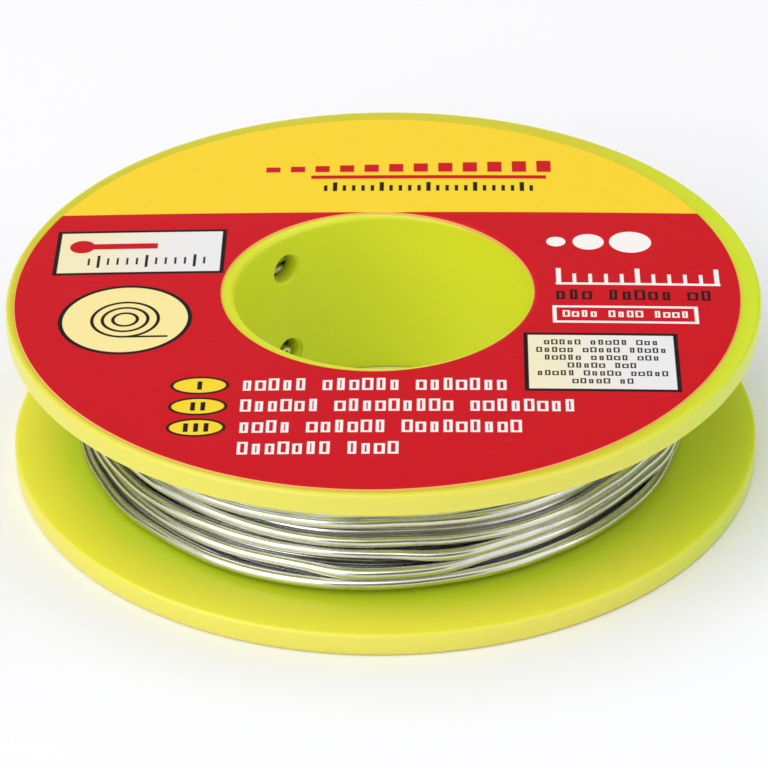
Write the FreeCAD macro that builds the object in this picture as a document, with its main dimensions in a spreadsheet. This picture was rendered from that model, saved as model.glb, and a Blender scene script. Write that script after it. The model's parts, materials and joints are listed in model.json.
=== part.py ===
import FreeCAD, Part
import math
import os

import Sketcher
from FreeCAD import Placement, Rotation, Vector

# Solder wire spool: a moulded spool with a ring label, full of 1 mm flux-cored solder wire.
# Millimetres. +Z is the spool's axis, the origin is the centre of its lower face, and the
# label is on top. The photographed side is -Y. Angles run from +X towards +Y.

# Driving dimensions: name, value, meaning
SIZES = (
    ("spool_height", 15.0, "over both flanges"),
    ("flange_diameter", 62.0, "both flanges"),
    ("flange_thickness", 2.0, "both flanges"),
    ("bore_diameter", 24.5, "spindle bore through the hub"),
    ("hub_wall", 1.5, "wall between bore and winding"),
    ("rim_round", 0.4, "flange edge, outside face"),
    ("lip_round", 0.3, "flange edge, winding side"),
    ("mouth_round", 0.55, "bore mouths"),
    ("hub_foot_round", 0.3, "corner between hub and flange, under the winding"),
    ("anchor_hole_diameter", 2.5, "holes in the hub wall that hold the wire's first end"),
    ("anchor_hole_angle", 132.0, "degrees, place of both holes round the hub"),
    ("anchor_hole_inset", 3.4, "hole centre to the nearer outside face"),
    ("label_thickness", 0.1, "printed film with its glue"),
    ("label_edge_margin", 1.4, "flange edge to label edge, before the label's shift"),
    ("label_hole_margin", 0.55, "bore wall to the label's hole, before the label's shift"),
    ("label_shift_left", 0.47, "how far the label was stuck off centre, towards -X"),
    ("label_shift_front", 0.25, "how far the label was stuck off centre, towards -Y"),
    ("wire_diameter", 1.0, "solder wire"),
    ("flux_core_diameter", 0.36, "flux inside the wire"),
    ("wire_bend_radius", 1.5, "tightest bend, on the wire's centre line"),
    ("unfilled_depth", 6.2, "flange edge down to the outer turns"),
    ("hub_clearance", 0.05, "winding to hub"),
    ("turn_clearance", 0.05, "outer turns to the layers below, and the free end to the turns"),
    ("flange_clearance", 0.1, "first and last turn to their flanges"),
    ("least_turn_gap", 0.42, "least gap between turns of the outer layer"),
    ("turns_start_angle", 135.0, "degrees, where the wire rises into the outer layer"),
    ("tail_climb_angle", 26.0, "degrees that the free end takes to climb onto the turns"),
    ("tail_run_angle", 38.0, "degrees that the free end then runs across the turns"),
    ("tail_drop", 3.6, "how far the free end comes down across the turns"),
    ("start_recess", 0.2, "bore wall to the cut face of the wire's first end"),
)

QUARTER_TURN = 90.0
SAMPLES_PER_ARC = 12
STATES_THAT_FAIL = ("Invalid", "Error")

doc = FreeCAD.newDocument("SolderSpool")
sheet = doc.addObject("Spreadsheet::Sheet", "Sizes")


def fill_sheet():
    """Writes each driving dimension into its own named cell."""
    for row, (name, value, meaning) in enumerate(SIZES, start=1):
        sheet.set(f"A{row}", name)
        sheet.set(f"B{row}", str(value))
        sheet.set(f"C{row}", meaning)
        sheet.setAlias(f"B{row}", name)
    doc.recompute()


def size(name):
    """Value of a driving dimension, for the shapes that are worked out in code."""
    return float(sheet.get(name))


# Sketches and bodies

HUB_RADIUS = "(Sizes.bore_diameter / 2 + Sizes.hub_wall)"
FLANGE_RADIUS = "Sizes.flange_diameter / 2"
UPPER_FLANGE_BOTTOM = "(Sizes.spool_height - Sizes.flange_thickness)"
INNER_LAYERS_BORE = f"({HUB_RADIUS} + Sizes.hub_clearance)"
INNER_LAYERS_RADIUS = (
    f"({FLANGE_RADIUS} - Sizes.unfilled_depth - Sizes.wire_diameter - Sizes.turn_clearance)"
)
TURN_RADIUS = f"({FLANGE_RADIUS} - Sizes.unfilled_depth - Sizes.wire_diameter / 2)"


def new_body(name):
    body = doc.addObject("PartDesign::Body", name)
    body.Label = name
    return body


def new_sketch(body, name, plane_role):
    """A sketch on one of the body's own origin planes."""
    sketch = body.newObject("Sketcher::SketchObject", name)
    plane = [item for item in body.Origin.OriginFeatures if item.Role == plane_role][0]
    sketch.AttachmentSupport = (plane, [""])
    sketch.MapMode = "FlatFace"
    return sketch


def name_last(sketch, name, expression):
    """Names the newest constraint and ties it to the sheet."""
    sketch.renameConstraint(sketch.ConstraintCount - 1, name)
    sketch.setExpression(f"Constraints.{name}", expression)


def stepped_profile(sketch, corners, widths, heights):
    """Closes a profile of level and upright lines.

    corners are its points in turn, and the line from each to the next is level, then upright,
    and so on. widths and heights name one corner's distance from each axis.
    """
    count = len(corners)
    for index, (across, up) in enumerate(corners):
        next_across, next_up = corners[(index + 1) % count]
        sketch.addGeometry(Part.LineSegment(Vector(across, up, 0), Vector(next_across, next_up, 0)))
    for index in range(count):
        sketch.addConstraint(Sketcher.Constraint("Coincident", index, 2, (index + 1) % count, 1))
        direction = "Horizontal" if index % 2 == 0 else "Vertical"
        sketch.addConstraint(Sketcher.Constraint(direction, index))
    for corner, name, expression in widths:
        across = corners[corner][0]
        sketch.addConstraint(Sketcher.Constraint("DistanceX", -1, 1, corner, 1, across))
        name_last(sketch, name, expression)
    for corner, name, expression in heights:
        up = corners[corner][1]
        if expression is None:
            sketch.addConstraint(Sketcher.Constraint("PointOnObject", corner, 1, -1))
        else:
            sketch.addConstraint(Sketcher.Constraint("DistanceY", -1, 1, corner, 1, up))
            name_last(sketch, name, expression)


def circle_in(sketch, across, up, radius, name, places, radius_expression):
    """A circle whose centre and radius are tied to the sheet.

    places holds an expression for the centre's distance across and up, or None on an axis.
    """
    circle = sketch.addGeometry(Part.Circle(Vector(across, up, 0), Vector(0, 0, 1), radius))
    for kind, axis, value, expression in (
        ("DistanceX", -2, across, places[0]),
        ("DistanceY", -1, up, places[1]),
    ):
        if expression is None:
            sketch.addConstraint(Sketcher.Constraint("PointOnObject", circle, 3, axis))
        else:
            sketch.addConstraint(Sketcher.Constraint(kind, -1, 1, circle, 3, value))
            name_last(sketch, f"{name}_{kind[-1].lower()}", expression)
    sketch.addConstraint(Sketcher.Constraint("Radius", circle, radius))
    name_last(sketch, f"{name}_radius", radius_expression)


def revolve(body, sketch, name):
    feature = body.newObject("PartDesign::Revolution", name)
    feature.Profile = sketch
    feature.ReferenceAxis = (sketch, ["V_Axis"])
    feature.Angle = 360.0
    doc.recompute()
    return feature


def raise_profile(body, sketch, name, length_expression):
    feature = body.newObject("PartDesign::Pad", name)
    feature.Profile = sketch
    feature.setExpression("Length", length_expression)
    doc.recompute()
    return feature


def cut_profile(body, sketch, name, length_expression):
    """Cuts along the sketch's own normal, and stops if nothing came off."""
    before = body.Shape.Volume
    feature = body.newObject("PartDesign::Pocket", name)
    feature.Profile = sketch
    feature.Reversed = True
    feature.setExpression("Length", length_expression)
    doc.recompute()
    if feature.Shape.Volume >= before:
        raise RuntimeError(f"{name} cut nothing")
    return feature


def ring_edges(shape, radius, heights):
    """Names of the full circles about the axis with this radius, at these heights."""
    near = 1e-4
    found = []
    for number, edge in enumerate(shape.Edges, start=1):
        curve = edge.Curve
        if not isinstance(curve, Part.Circle) or abs(curve.Radius - radius) > near:
            continue
        if math.hypot(curve.Center.x, curve.Center.y) > near:
            continue
        if any(abs(curve.Center.z - height) < near for height in heights):
            found.append(f"Edge{number}")
    if len(found) != len(heights):
        raise RuntimeError(f"{len(found)} edges of radius {radius}, not {len(heights)}")
    return found


def soften(body, name, kind, size_property, radius, heights, expression):
    """Rounds or chamfers the rings of the body's last feature."""
    base = body.Tip
    feature = body.newObject(kind, name)
    feature.Base = (base, ring_edges(base.Shape, radius, heights))
    feature.setExpression(size_property, expression)
    doc.recompute()


def turn_sketch(sketch, angle_expression, height_expression=None):
    """Turns a sketch on the XY plane about Z, and lifts it."""
    sketch.AttachmentOffset = Placement(Vector(0, 0, 0), Rotation(Vector(0, 0, 1), 0))
    sketch.setExpression("AttachmentOffset.Rotation.Angle", f"{angle_expression} * 1 deg")
    sketch.setExpression("AttachmentOffset.Base.z", height_expression)


def face_outwards(sketch, angle_expression, distance_expression=None):
    """Turns a sketch on the XZ plane until its normal points out from the axis at that angle."""
    sketch.AttachmentOffset = Placement(Vector(0, 0, 0), Rotation(Vector(0, 1, 0), QUARTER_TURN))
    angle = f"({angle_expression} + {QUARTER_TURN}) * 1 deg"
    sketch.setExpression("AttachmentOffset.Rotation.Angle", angle)
    if distance_expression is not None:
        across = f"{distance_expression} * cos({angle_expression} * 1 deg)"
        along = f"{distance_expression} * sin({angle_expression} * 1 deg)"
        sketch.setExpression("AttachmentOffset.Base.x", across)
        sketch.setExpression("AttachmentOffset.Base.z", f"-1 * {along}")


# The moulded spool: hub, two flanges and the two wire holes


def make_spool_body():
    body = new_body("spool_body")
    bore = size("bore_diameter") / 2
    hub = bore + size("hub_wall")
    rim = size("flange_diameter") / 2
    thick = size("flange_thickness")
    high = size("spool_height")

    section = new_sketch(body, "spool_section", "XZ_Plane")
    corners = (
        (bore, 0),
        (rim, 0),
        (rim, thick),
        (hub, thick),
        (hub, high - thick),
        (rim, high - thick),
        (rim, high),
        (bore, high),
    )
    widths = (
        (0, "bore_radius", "Sizes.bore_diameter / 2"),
        (1, "lower_rim", FLANGE_RADIUS),
        (3, "hub_radius", HUB_RADIUS),
        (5, "upper_rim", FLANGE_RADIUS),
    )
    heights = (
        (0, "base", None),
        (2, "lower_flange_top", "Sizes.flange_thickness"),
        (4, "upper_flange_bottom", UPPER_FLANGE_BOTTOM),
        (6, "top", "Sizes.spool_height"),
    )
    stepped_profile(section, corners, widths, heights)
    revolve(body, section, "hub_and_flanges")

    rounds = (
        ("hub_feet", hub, (thick, high - thick), "Sizes.hub_foot_round"),
        ("flange_lips", rim, (thick, high - thick), "Sizes.lip_round"),
        ("flange_rims", rim, (0, high), "Sizes.rim_round"),
        ("bore_mouths", bore, (0, high), "Sizes.mouth_round"),
    )
    for name, radius, places, expression in rounds:
        soften(body, name, "PartDesign::Fillet", "Radius", radius, places, expression)

    holes = new_sketch(body, "anchor_hole_circles", "XZ_Plane")
    face_outwards(holes, "Sizes.anchor_hole_angle")
    inset = size("anchor_hole_inset")
    hole_radius = size("anchor_hole_diameter") / 2
    for name, up, expression in (
        ("lower", inset, "Sizes.anchor_hole_inset"),
        ("upper", high - inset, "Sizes.spool_height - Sizes.anchor_hole_inset"),
    ):
        radius_expression = "Sizes.anchor_hole_diameter / 2"
        circle_in(holes, 0, up, hole_radius, name, (None, expression), radius_expression)
    cut_profile(body, holes, "anchor_holes", f"{HUB_RADIUS} + Sizes.hub_wall")
    return body


# The ring label


def make_face_label():
    body = new_body("face_label")
    outline = new_sketch(body, "label_outline", "XY_Plane")
    turn_sketch(outline, "0", "Sizes.spool_height")
    left = -size("label_shift_left")
    front = -size("label_shift_front")
    places = ("-Sizes.label_shift_left", "-Sizes.label_shift_front")
    edge = size("flange_diameter") / 2 - size("label_edge_margin")
    hole = size("bore_diameter") / 2 + size("label_hole_margin")
    edge_expression = f"{FLANGE_RADIUS} - Sizes.label_edge_margin"
    hole_expression = "Sizes.bore_diameter / 2 + Sizes.label_hole_margin"
    circle_in(outline, left, front, edge, "edge", places, edge_expression)
    circle_in(outline, left, front, hole, "hole", places, hole_expression)
    raise_profile(body, outline, "label_film", "Sizes.label_thickness")
    return body


# The layers of wire below the outer one, as one closed ring with a notch where the wire rises


def make_solder_inner_layers():
    body = new_body("solder_inner_layers")
    inner = size("bore_diameter") / 2 + size("hub_wall") + size("hub_clearance")
    outer = turn_radius() - size("wire_diameter") / 2 - size("turn_clearance")
    low = size("flange_thickness")
    high = size("spool_height") - low

    section = new_sketch(body, "layers_section", "XZ_Plane")
    corners = ((inner, low), (outer, low), (outer, high), (inner, high))
    widths = (
        (0, "layers_bore", INNER_LAYERS_BORE),
        (1, "layers_radius", INNER_LAYERS_RADIUS),
    )
    heights = (
        (0, "layers_bottom", "Sizes.flange_thickness"),
        (2, "layers_top", UPPER_FLANGE_BOTTOM),
    )
    stepped_profile(section, corners, widths, heights)
    revolve(body, section, "layers_ring")
    clear_feet = "Sizes.hub_foot_round + Sizes.hub_clearance"
    soften(body, "layers_feet", "PartDesign::Chamfer", "Size", inner, (low, high), clear_feet)

    notch = new_sketch(body, "rise_notch_outline", "XY_Plane")
    turn_sketch(notch, "Sizes.turns_start_angle", "Sizes.flange_thickness")
    wire = size("wire_diameter")
    bend = size("wire_bend_radius")
    gap = size("flange_clearance")
    floor = turn_radius() - bend - wire
    side = bend + wire / 2 + gap
    corners = ((floor, -side), (outer + wire, -side), (outer + wire, gap), (floor, gap))
    widths = (
        (0, "notch_floor", f"{TURN_RADIUS} - Sizes.wire_bend_radius - Sizes.wire_diameter"),
        (1, "notch_reach", f"{INNER_LAYERS_RADIUS} + Sizes.wire_diameter"),
    )
    side_expression = "Sizes.wire_bend_radius + Sizes.wire_diameter / 2 + Sizes.flange_clearance"
    heights = (
        (0, "notch_side", f"-1 * ({side_expression})"),
        (2, "notch_end", "Sizes.flange_clearance"),
    )
    stepped_profile(notch, corners, widths, heights)
    notch_height = "Sizes.wire_diameter + 2 * Sizes.flange_clearance"
    cut_profile(body, notch, "rise_notch", notch_height)
    return body


# The wire's first end, held in the lower hole of the hub wall, with its flux core


def add_radial_stub(name, circles):
    """A straight length of wire through the hub wall, from near the bore to the inner layers."""
    body = new_body(name)
    section = new_sketch(body, f"{name}_section", "XZ_Plane")
    near_bore = "(Sizes.bore_diameter / 2 + Sizes.start_recess)"
    face_outwards(section, "Sizes.anchor_hole_angle", near_bore)
    up = size("anchor_hole_inset")
    for circle_name in circles:
        radius = size(circle_name) / 2
        places = (None, "Sizes.anchor_hole_inset")
        circle_in(section, 0, up, radius, circle_name, places, f"Sizes.{circle_name} / 2")
    flush = f"sqrt({INNER_LAYERS_BORE} ^ 2 - (Sizes.wire_diameter / 2) ^ 2)"
    raise_profile(body, section, f"{name}_length", f"{flush} - {near_bore}")
    return body


def make_solder_start():
    return add_radial_stub("solder_start", ("wire_diameter", "flux_core_diameter"))


def make_flux_core_start():
    return add_radial_stub("flux_core_start", ("flux_core_diameter",))


# Centre lines of wound wire: straight runs and pairs of arcs, each line smooth from end to end


def turn_radius():
    """Radius of the outer layer's centre line."""
    return size("flange_diameter") / 2 - size("unfilled_depth") - size("wire_diameter") / 2


def outward(angle):
    turned = math.radians(angle)
    return Vector(math.cos(turned), math.sin(turned), 0)


def around(angle):
    turned = math.radians(angle)
    return Vector(-math.sin(turned), math.cos(turned), 0)


def on_drum(angle, radius, height):
    return outward(angle) * radius + Vector(0, 0, height)


def arc_between(start, corner, end):
    """The arc from start to end whose end tangents meet at corner, equally far from both."""
    reach = (corner - start).Length
    weight = (end - start).Length / 2 / reach
    middle = (start + corner * (2 * weight) + end) * (1 / (2 + 2 * weight))
    return Part.Arc(start, middle, end).toShape()


def arc_pair(start, leaving, end, arriving):
    """Two arcs in one smooth line, from start along leaving to end along arriving."""
    chord = end - start
    both = leaving + arriving
    square = both.dot(both) - 4
    linear = -2 * chord.dot(both)
    constant = chord.dot(chord)
    if abs(square) < 1e-9:
        reach = -constant / linear
    else:
        root = math.sqrt(linear * linear - 4 * square * constant)
        reach = (-linear - root) / (2 * square)
    first_corner = start + leaving * reach
    last_corner = end - arriving * reach
    joint = (first_corner + last_corner) * 0.5
    return [arc_between(start, first_corner, joint), arc_between(joint, last_corner, end)]


def line_through(stations):
    """Edges through the stations, each a point and the direction of the wire there."""
    edges = []
    for (start, leaving), (end, arriving) in zip(stations, stations[1:]):
        edges += arc_pair(start, leaving, end, arriving)
    return edges


def straight(start, end):
    return Part.LineSegment(start, end).toShape()


def tube_along(name, edges, diameter):
    """A solid round tube along the edges, with its length and volume compared."""
    path = Part.Wire(edges)
    start = edges[0].valueAt(edges[0].FirstParameter)
    direction = edges[0].tangentAt(edges[0].FirstParameter)
    ring = Part.Wire([Part.Circle(start, direction, diameter / 2).toShape()])
    tube = path.makePipeShell([ring], True, False)
    expected = path.Length * math.pi * diameter ** 2 / 4
    print(f"{name}: {path.Length:.1f} mm long, volume {tube.Volume / expected:.4f} of its length's")
    return tube


def least_gap(edges, diameter):
    """The least gap between stretches of one line that are over a quarter turn apart."""
    points = []
    for edge in edges:
        points += edge.discretize(Number=SAMPLES_PER_ARC)[:-1]
    apart = 2 * SAMPLES_PER_ARC
    distances = [
        (point - other).Length
        for index, point in enumerate(points)
        for other in points[index + apart:]
    ]
    return min(distances) - diameter


def turn_stations():
    """The outer layer's quarter turns, from the lower flange to the upper one."""
    wire = size("wire_diameter")
    edge_space = wire / 2 + size("flange_clearance")
    low = size("flange_thickness") + edge_space
    rise = size("spool_height") - size("flange_thickness") - edge_space - low
    quarters = int(4 * rise / (wire + size("least_turn_gap")))
    step = rise / quarters
    run = turn_radius() * math.radians(QUARTER_TURN)
    slope = Vector(0, 0, step / run)
    stations = []
    for quarter in range(quarters + 1):
        angle = size("turns_start_angle") + quarter * QUARTER_TURN
        along = around(angle)
        if quarter > 0:
            along = (along + slope).normalize()
        stations.append((on_drum(angle, turn_radius(), low + quarter * step), along))
    return stations


def make_solder_outer_turns():
    """One unbroken wire: it rises out of the notch, turns, and ends at the free end's face."""
    wire = size("wire_diameter")
    bend = size("wire_bend_radius")
    stations = turn_stations()
    out = outward(size("turns_start_angle"))
    first, first_along = stations[0]
    bend_start = first - out * bend - first_along * bend
    last, last_along = stations[-1]
    edges = [straight(bend_start - out * wire, bend_start)]
    edges += [arc_between(bend_start, bend_start + out * bend, first)]
    edges += line_through(stations)
    edges += [straight(last, last + last_along * wire)]
    gap = least_gap(edges, wire)
    print(f"solder_outer_turns: {(len(stations) - 1) / 4} turns, least gap to itself {gap:.3f} mm")
    turns = doc.addObject("Part::Feature", "solder_outer_turns")
    turns.Shape = tube_along("solder_outer_turns", edges, wire)
    turns.Placement = Placement()
    return turns


def tail_line():
    """The free end: it climbs onto the turns, comes down across them and ends straight."""
    wire = size("wire_diameter")
    last, last_along = turn_stations()[-1]
    start = last + last_along * wire
    start_angle = math.degrees(math.atan2(start.y, start.x))
    over_turns = turn_radius() + wire + size("turn_clearance")
    climbed = start_angle + size("tail_climb_angle")
    landed = climbed + size("tail_run_angle")
    stations = (
        (start, last_along),
        (on_drum(climbed, over_turns, last.z), around(climbed)),
        (on_drum(landed, over_turns, last.z - size("tail_drop")), around(landed)),
    )
    end = stations[-1][0]
    return line_through(stations) + [straight(end, end + around(landed) * wire)]


def make_tail():
    """The free end's wire and the flux core inside it."""
    edges = tail_line()
    whole = tube_along("solder_tail", edges, size("wire_diameter"))
    core = tube_along("flux_core_tail", edges, size("flux_core_diameter"))
    parts = []
    for name, shape in (("solder_tail", whole.cut(core)), ("flux_core_tail", core)):
        feature = doc.addObject("Part::Feature", name)
        feature.Shape = shape
        feature.Placement = Placement()
        parts.append(feature)
    return parts


def check_document():
    """Stops at the first object that failed."""
    for item in doc.Objects:
        if any(state in STATES_THAT_FAIL for state in item.State):
            raise RuntimeError(f"{item.Name} failed: {item.State}")


def write_parts(parts):
    os.makedirs("parts", exist_ok=True)
    for part in parts:
        shape = part.Shape
        if shape.isNull() or not shape.isValid() or not shape.Solids:
            raise RuntimeError(f"{part.Label} has no valid solid")
    for part in parts:
        shape = part.Shape
        box = shape.BoundBox
        print(
            f"{part.Label}: {len(shape.Solids)} solid, volume {shape.Volume:.2f}, "
            f"x {box.XMin:.2f} to {box.XMax:.2f}, y {box.YMin:.2f} to {box.YMax:.2f}, "
            f"z {box.ZMin:.2f} to {box.ZMax:.2f}"
        )
        shape.exportStep(f"parts/{part.Label}.step")


fill_sheet()
parts = [
    make_spool_body(),
    make_face_label(),
    make_solder_inner_layers(),
    make_solder_start(),
    make_flux_core_start(),
    make_solder_outer_turns(),
]
parts += make_tail()
doc.recompute()
check_document()
write_parts(parts)
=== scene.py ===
"""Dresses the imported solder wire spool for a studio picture.

The spool is one moulding, the label is a ring of printed film, and the solder is one wire that starts
in the hub's lower hole, is laid up in eleven layers and ends loose across the back of the winding.
"""

import json
import logging
import math
from collections.abc import Callable, Iterable
from dataclasses import dataclass, field, replace
from enum import Enum
from functools import reduce

import bmesh
import bpy
import numpy as np
from mathutils import Matrix, Vector


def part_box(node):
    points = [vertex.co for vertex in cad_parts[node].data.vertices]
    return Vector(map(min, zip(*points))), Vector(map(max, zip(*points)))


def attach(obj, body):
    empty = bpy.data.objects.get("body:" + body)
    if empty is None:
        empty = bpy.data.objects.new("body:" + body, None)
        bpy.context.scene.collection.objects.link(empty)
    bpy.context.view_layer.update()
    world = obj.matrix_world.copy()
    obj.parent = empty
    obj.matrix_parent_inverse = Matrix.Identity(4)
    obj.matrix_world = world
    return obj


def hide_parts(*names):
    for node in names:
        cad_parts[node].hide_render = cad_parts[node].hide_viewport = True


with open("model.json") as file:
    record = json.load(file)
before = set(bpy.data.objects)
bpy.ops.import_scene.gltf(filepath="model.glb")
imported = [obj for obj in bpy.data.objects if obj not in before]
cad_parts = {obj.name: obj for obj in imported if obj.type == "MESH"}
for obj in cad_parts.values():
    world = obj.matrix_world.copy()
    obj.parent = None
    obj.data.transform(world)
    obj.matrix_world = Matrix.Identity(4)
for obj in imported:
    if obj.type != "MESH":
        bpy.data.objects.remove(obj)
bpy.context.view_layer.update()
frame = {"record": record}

MM = 0.001
# In millimetres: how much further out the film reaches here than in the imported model, and how far
# the wire's first end stays behind the bore's wall.
LABEL_SPREAD = 0.2
START_DEPTH = 0.2
BODY = "root"
log = logging.getLogger("solder_spool")

Colour = tuple[float, float, float]
Pair = tuple[float, float]


class Slot(Enum):
    """The record's material slots."""

    PLASTIC = "spool_plastic"
    LABEL = "label_film"
    SOLDER = "solder_alloy"
    FLUX = "flux_resin"


class Crease(Enum):
    """How far, in degrees, a surface may turn before it is shaded with an edge there."""

    MOULDED = 38.0
    FILM = 24.0
    WIRE = 55.0


class Carving(Enum):
    """What a tool does to a piece."""

    CUT = "DIFFERENCE"
    ADD = "UNION"


class CardTone(Enum):
    """Colours of the dark cards."""

    BLACK = (0.02, 0.02, 0.02)
    OLIVE = (0.14, 0.15, 0.015)


def binary(operation: str, swapped: bool = False) -> Callable[["Signal", "Signal | float"], "Signal"]:
    """Makes a method that adds a Math node on its own value and another.

    Args:
        operation: Blender's name of what the node does.
        swapped: whether the other value comes first.

    Returns:
        The method.
    """

    def method(self: "Signal", other: "Signal | float") -> "Signal":
        """The node's result."""
        pair = (other, self) if swapped else (self, other)
        return self.graph.node("ShaderNodeMath", {"operation": operation}, dict(enumerate(pair)))

    return method


def unary(operation: str) -> Callable[["Signal"], "Signal"]:
    """Makes a method that adds a Math node on its own value alone.

    Args:
        operation: Blender's name of what the node does.

    Returns:
        The method.
    """

    def method(self: "Signal") -> "Signal":
        """The node's result."""
        return self.graph.node("ShaderNodeMath", {"operation": operation}, {0: self})

    return method


class Signal:
    """A value that varies over a surface, written in sums and products as plain numbers are.

    y.angle_from(x) is the angle in radians whose sine goes with y and whose cosine goes with x.
    """

    __add__ = binary("ADD")
    __radd__ = binary("ADD", swapped=True)
    __sub__ = binary("SUBTRACT")
    __rsub__ = binary("SUBTRACT", swapped=True)
    __mul__ = binary("MULTIPLY")
    __rmul__ = binary("MULTIPLY", swapped=True)
    __truediv__ = binary("DIVIDE")
    __rtruediv__ = binary("DIVIDE", swapped=True)
    __abs__ = unary("ABSOLUTE")
    __round__ = unary("ROUND")
    sine = unary("SINE")
    root = unary("SQRT")
    angle_from = binary("ARCTAN2")
    least = binary("MINIMUM")
    most = binary("MAXIMUM")

    def __init__(self, graph: "Graph", socket: bpy.types.NodeSocket | None) -> None:
        """Keeps the node tree and the output socket that carries the value."""
        self.graph = graph
        self.socket = socket

    def eased(self, low: float, high: float, start: float = 0.0, end: float = 1.0) -> "Signal":
        """Goes smoothly from start to end as the value goes from low to high, and stays there beyond."""
        settings = {"interpolation_type": "SMOOTHSTEP"}
        return self.graph.node("ShaderNodeMapRange", settings, {0: self, 1: low, 2: high, 3: start, 4: end})


@dataclass(frozen=True)
class Grain:
    """Cloudy noise: its cells per millimetre, its octaves of finer noise and how strong each is."""

    per_mm: float
    detail: float = 2.0
    rough: float = 0.5


class Graph:
    """A node tree that is being built for one material or for the world."""

    def __init__(self, tree: bpy.types.NodeTree) -> None:
        """Empties the tree."""
        self.tree = tree
        tree.nodes.clear()

    def node(
        self,
        kind: str,
        settings: dict[str, object] | None = None,
        inputs: dict[str | int, object] | None = None,
        output: str | int = 0,
    ) -> Signal:
        """Adds one node.

        Args:
            kind: Blender's name of the node's type.
            settings: properties of the node, set before its sockets.
            inputs: for each socket's name or place, a value or the signal that feeds it.
            output: name or place of the output that is wanted.

        Returns:
            The signal of that output, which is empty where the node has none.
        """
        made = self.tree.nodes.new(kind)
        for name, value in (settings or {}).items():
            setattr(made, name, value)
        for key, value in (inputs or {}).items():
            socket = made.inputs[key]
            if isinstance(value, Signal):
                self.tree.links.new(value.socket, socket)
            else:
                socket.default_value = value
        return Signal(self, made.outputs[output] if made.outputs else None)

    def place_mm(self) -> Signal:
        """The place on the object in millimetres, in the frame's own axes."""
        place = self.node("ShaderNodeTexCoord", output="Object")
        return self.node("ShaderNodeVectorMath", {"operation": "SCALE"}, {0: place, "Scale": 1 / MM})

    def parts_of(self, vector: Signal) -> tuple[Signal, Signal, Signal]:
        """Splits a vector.

        Args:
            vector: the signal that carries it.

        Returns:
            Its x, y and z.
        """
        split = self.node("ShaderNodeSeparateXYZ", inputs={0: vector})
        outputs = split.socket.node.outputs
        return split, Signal(self, outputs[1]), Signal(self, outputs[2])

    def vector_of(self, x: "Signal | float", y: "Signal | float", z: "Signal | float") -> Signal:
        """A vector from three values."""
        return self.node("ShaderNodeCombineXYZ", inputs={0: x, 1: y, 2: z})

    def noise(self, place: Signal, grain: Grain) -> Signal:
        """Cloudy noise from 0 to 1 at a place in millimetres."""
        inputs = {"Vector": place, "Scale": grain.per_mm, "Detail": grain.detail, "Roughness": grain.rough}
        return self.node("ShaderNodeTexNoise", {"noise_dimensions": "3D"}, inputs)

    def blend(self, amount: "Signal | float", under: "Signal | Colour", over: "Signal | Colour") -> Signal:
        """One colour laid over another.

        Args:
            amount: 0 shows under and 1 shows over.
            under: colour beneath.
            over: colour on top.

        Returns:
            The mixed colour.
        """
        pair = [c if isinstance(c, Signal) else (*c, 1.0) for c in (under, over)]
        inputs = {0: amount, 6: pair[0], 7: pair[1]}
        return self.node("ShaderNodeMix", {"data_type": "RGBA", "clamp_factor": True}, inputs, 2)

    def relief(self, height: Signal, depth_mm: float) -> Signal:
        """Normals of a relief that goes from 0 to 1 and is this many millimetres deep."""
        return self.node("ShaderNodeBump", inputs={"Height": height, "Distance": depth_mm * MM})

    def surface(self, sockets: dict[str, object]) -> None:
        """Closes a material with one Principled surface that has these values and signals."""
        shader = self.node("ShaderNodeBsdfPrincipled", {"subsurface_method": "RANDOM_WALK"}, sockets)
        self.node("ShaderNodeOutputMaterial", inputs={"Surface": shader})


def new_material(name: str) -> tuple[bpy.types.Material, Graph]:
    """Makes an empty material.

    Args:
        name: what it is called.

    Returns:
        The material and the graph of its nodes.
    """
    material = bpy.data.materials.new(name)
    material.use_nodes = True
    return material, Graph(material.node_tree)


def grid_faces(rows: int, columns: int, closed_rows: bool, closed_columns: bool) -> np.ndarray:
    """Four-cornered faces of a grid of points that is numbered row by row.

    Args:
        rows: how many rows of points there are.
        columns: points in a row.
        closed_rows: whether the last row joins the first.
        closed_columns: whether each row's end joins its start.

    Returns:
        Corner numbers, one row of four for each face.
    """
    row = np.arange(rows if closed_rows else rows - 1)[:, None]
    column = np.arange(columns if closed_columns else columns - 1)[None, :]
    next_row = (row + 1) % rows
    next_column = (column + 1) % columns
    corners = (row * columns + column, next_row * columns + column)
    corners += (next_row * columns + next_column, row * columns + next_column)
    return np.stack(corners, axis=-1).reshape(-1, 4)


def mesh_object(name: str, points: np.ndarray, faces: list[list[int]], crease: Crease) -> bpy.types.Object:
    """Makes an object from points in millimetres.

    Args:
        name: the object's name.
        points: its corners, one row of three each.
        faces: corner numbers of each face.
        crease: how sharp an edge has to be to stay an edge.

    Returns:
        The object, in the scene.
    """
    mesh = bpy.data.meshes.new(name)
    mesh.from_pydata((points.reshape(-1, 3) * MM).tolist(), [], faces)
    face_outwards(mesh)
    shade(mesh, crease)
    piece = bpy.data.objects.new(name, mesh)
    bpy.context.scene.collection.objects.link(piece)
    return piece


def face_outwards(mesh: bpy.types.Mesh) -> None:
    """Turns every face of a closed mesh to the outside.

    Args:
        mesh: the mesh.
    """
    work = bmesh.new()
    work.from_mesh(mesh)
    bmesh.ops.recalc_face_normals(work, faces=work.faces)
    work.to_mesh(mesh)
    work.free()


def shade(mesh: bpy.types.Mesh, crease: Crease) -> None:
    """Shades a mesh smooth, apart from its real edges."""
    mesh.shade_smooth()
    mesh.set_sharp_from_angle(angle=math.radians(crease.value))


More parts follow.
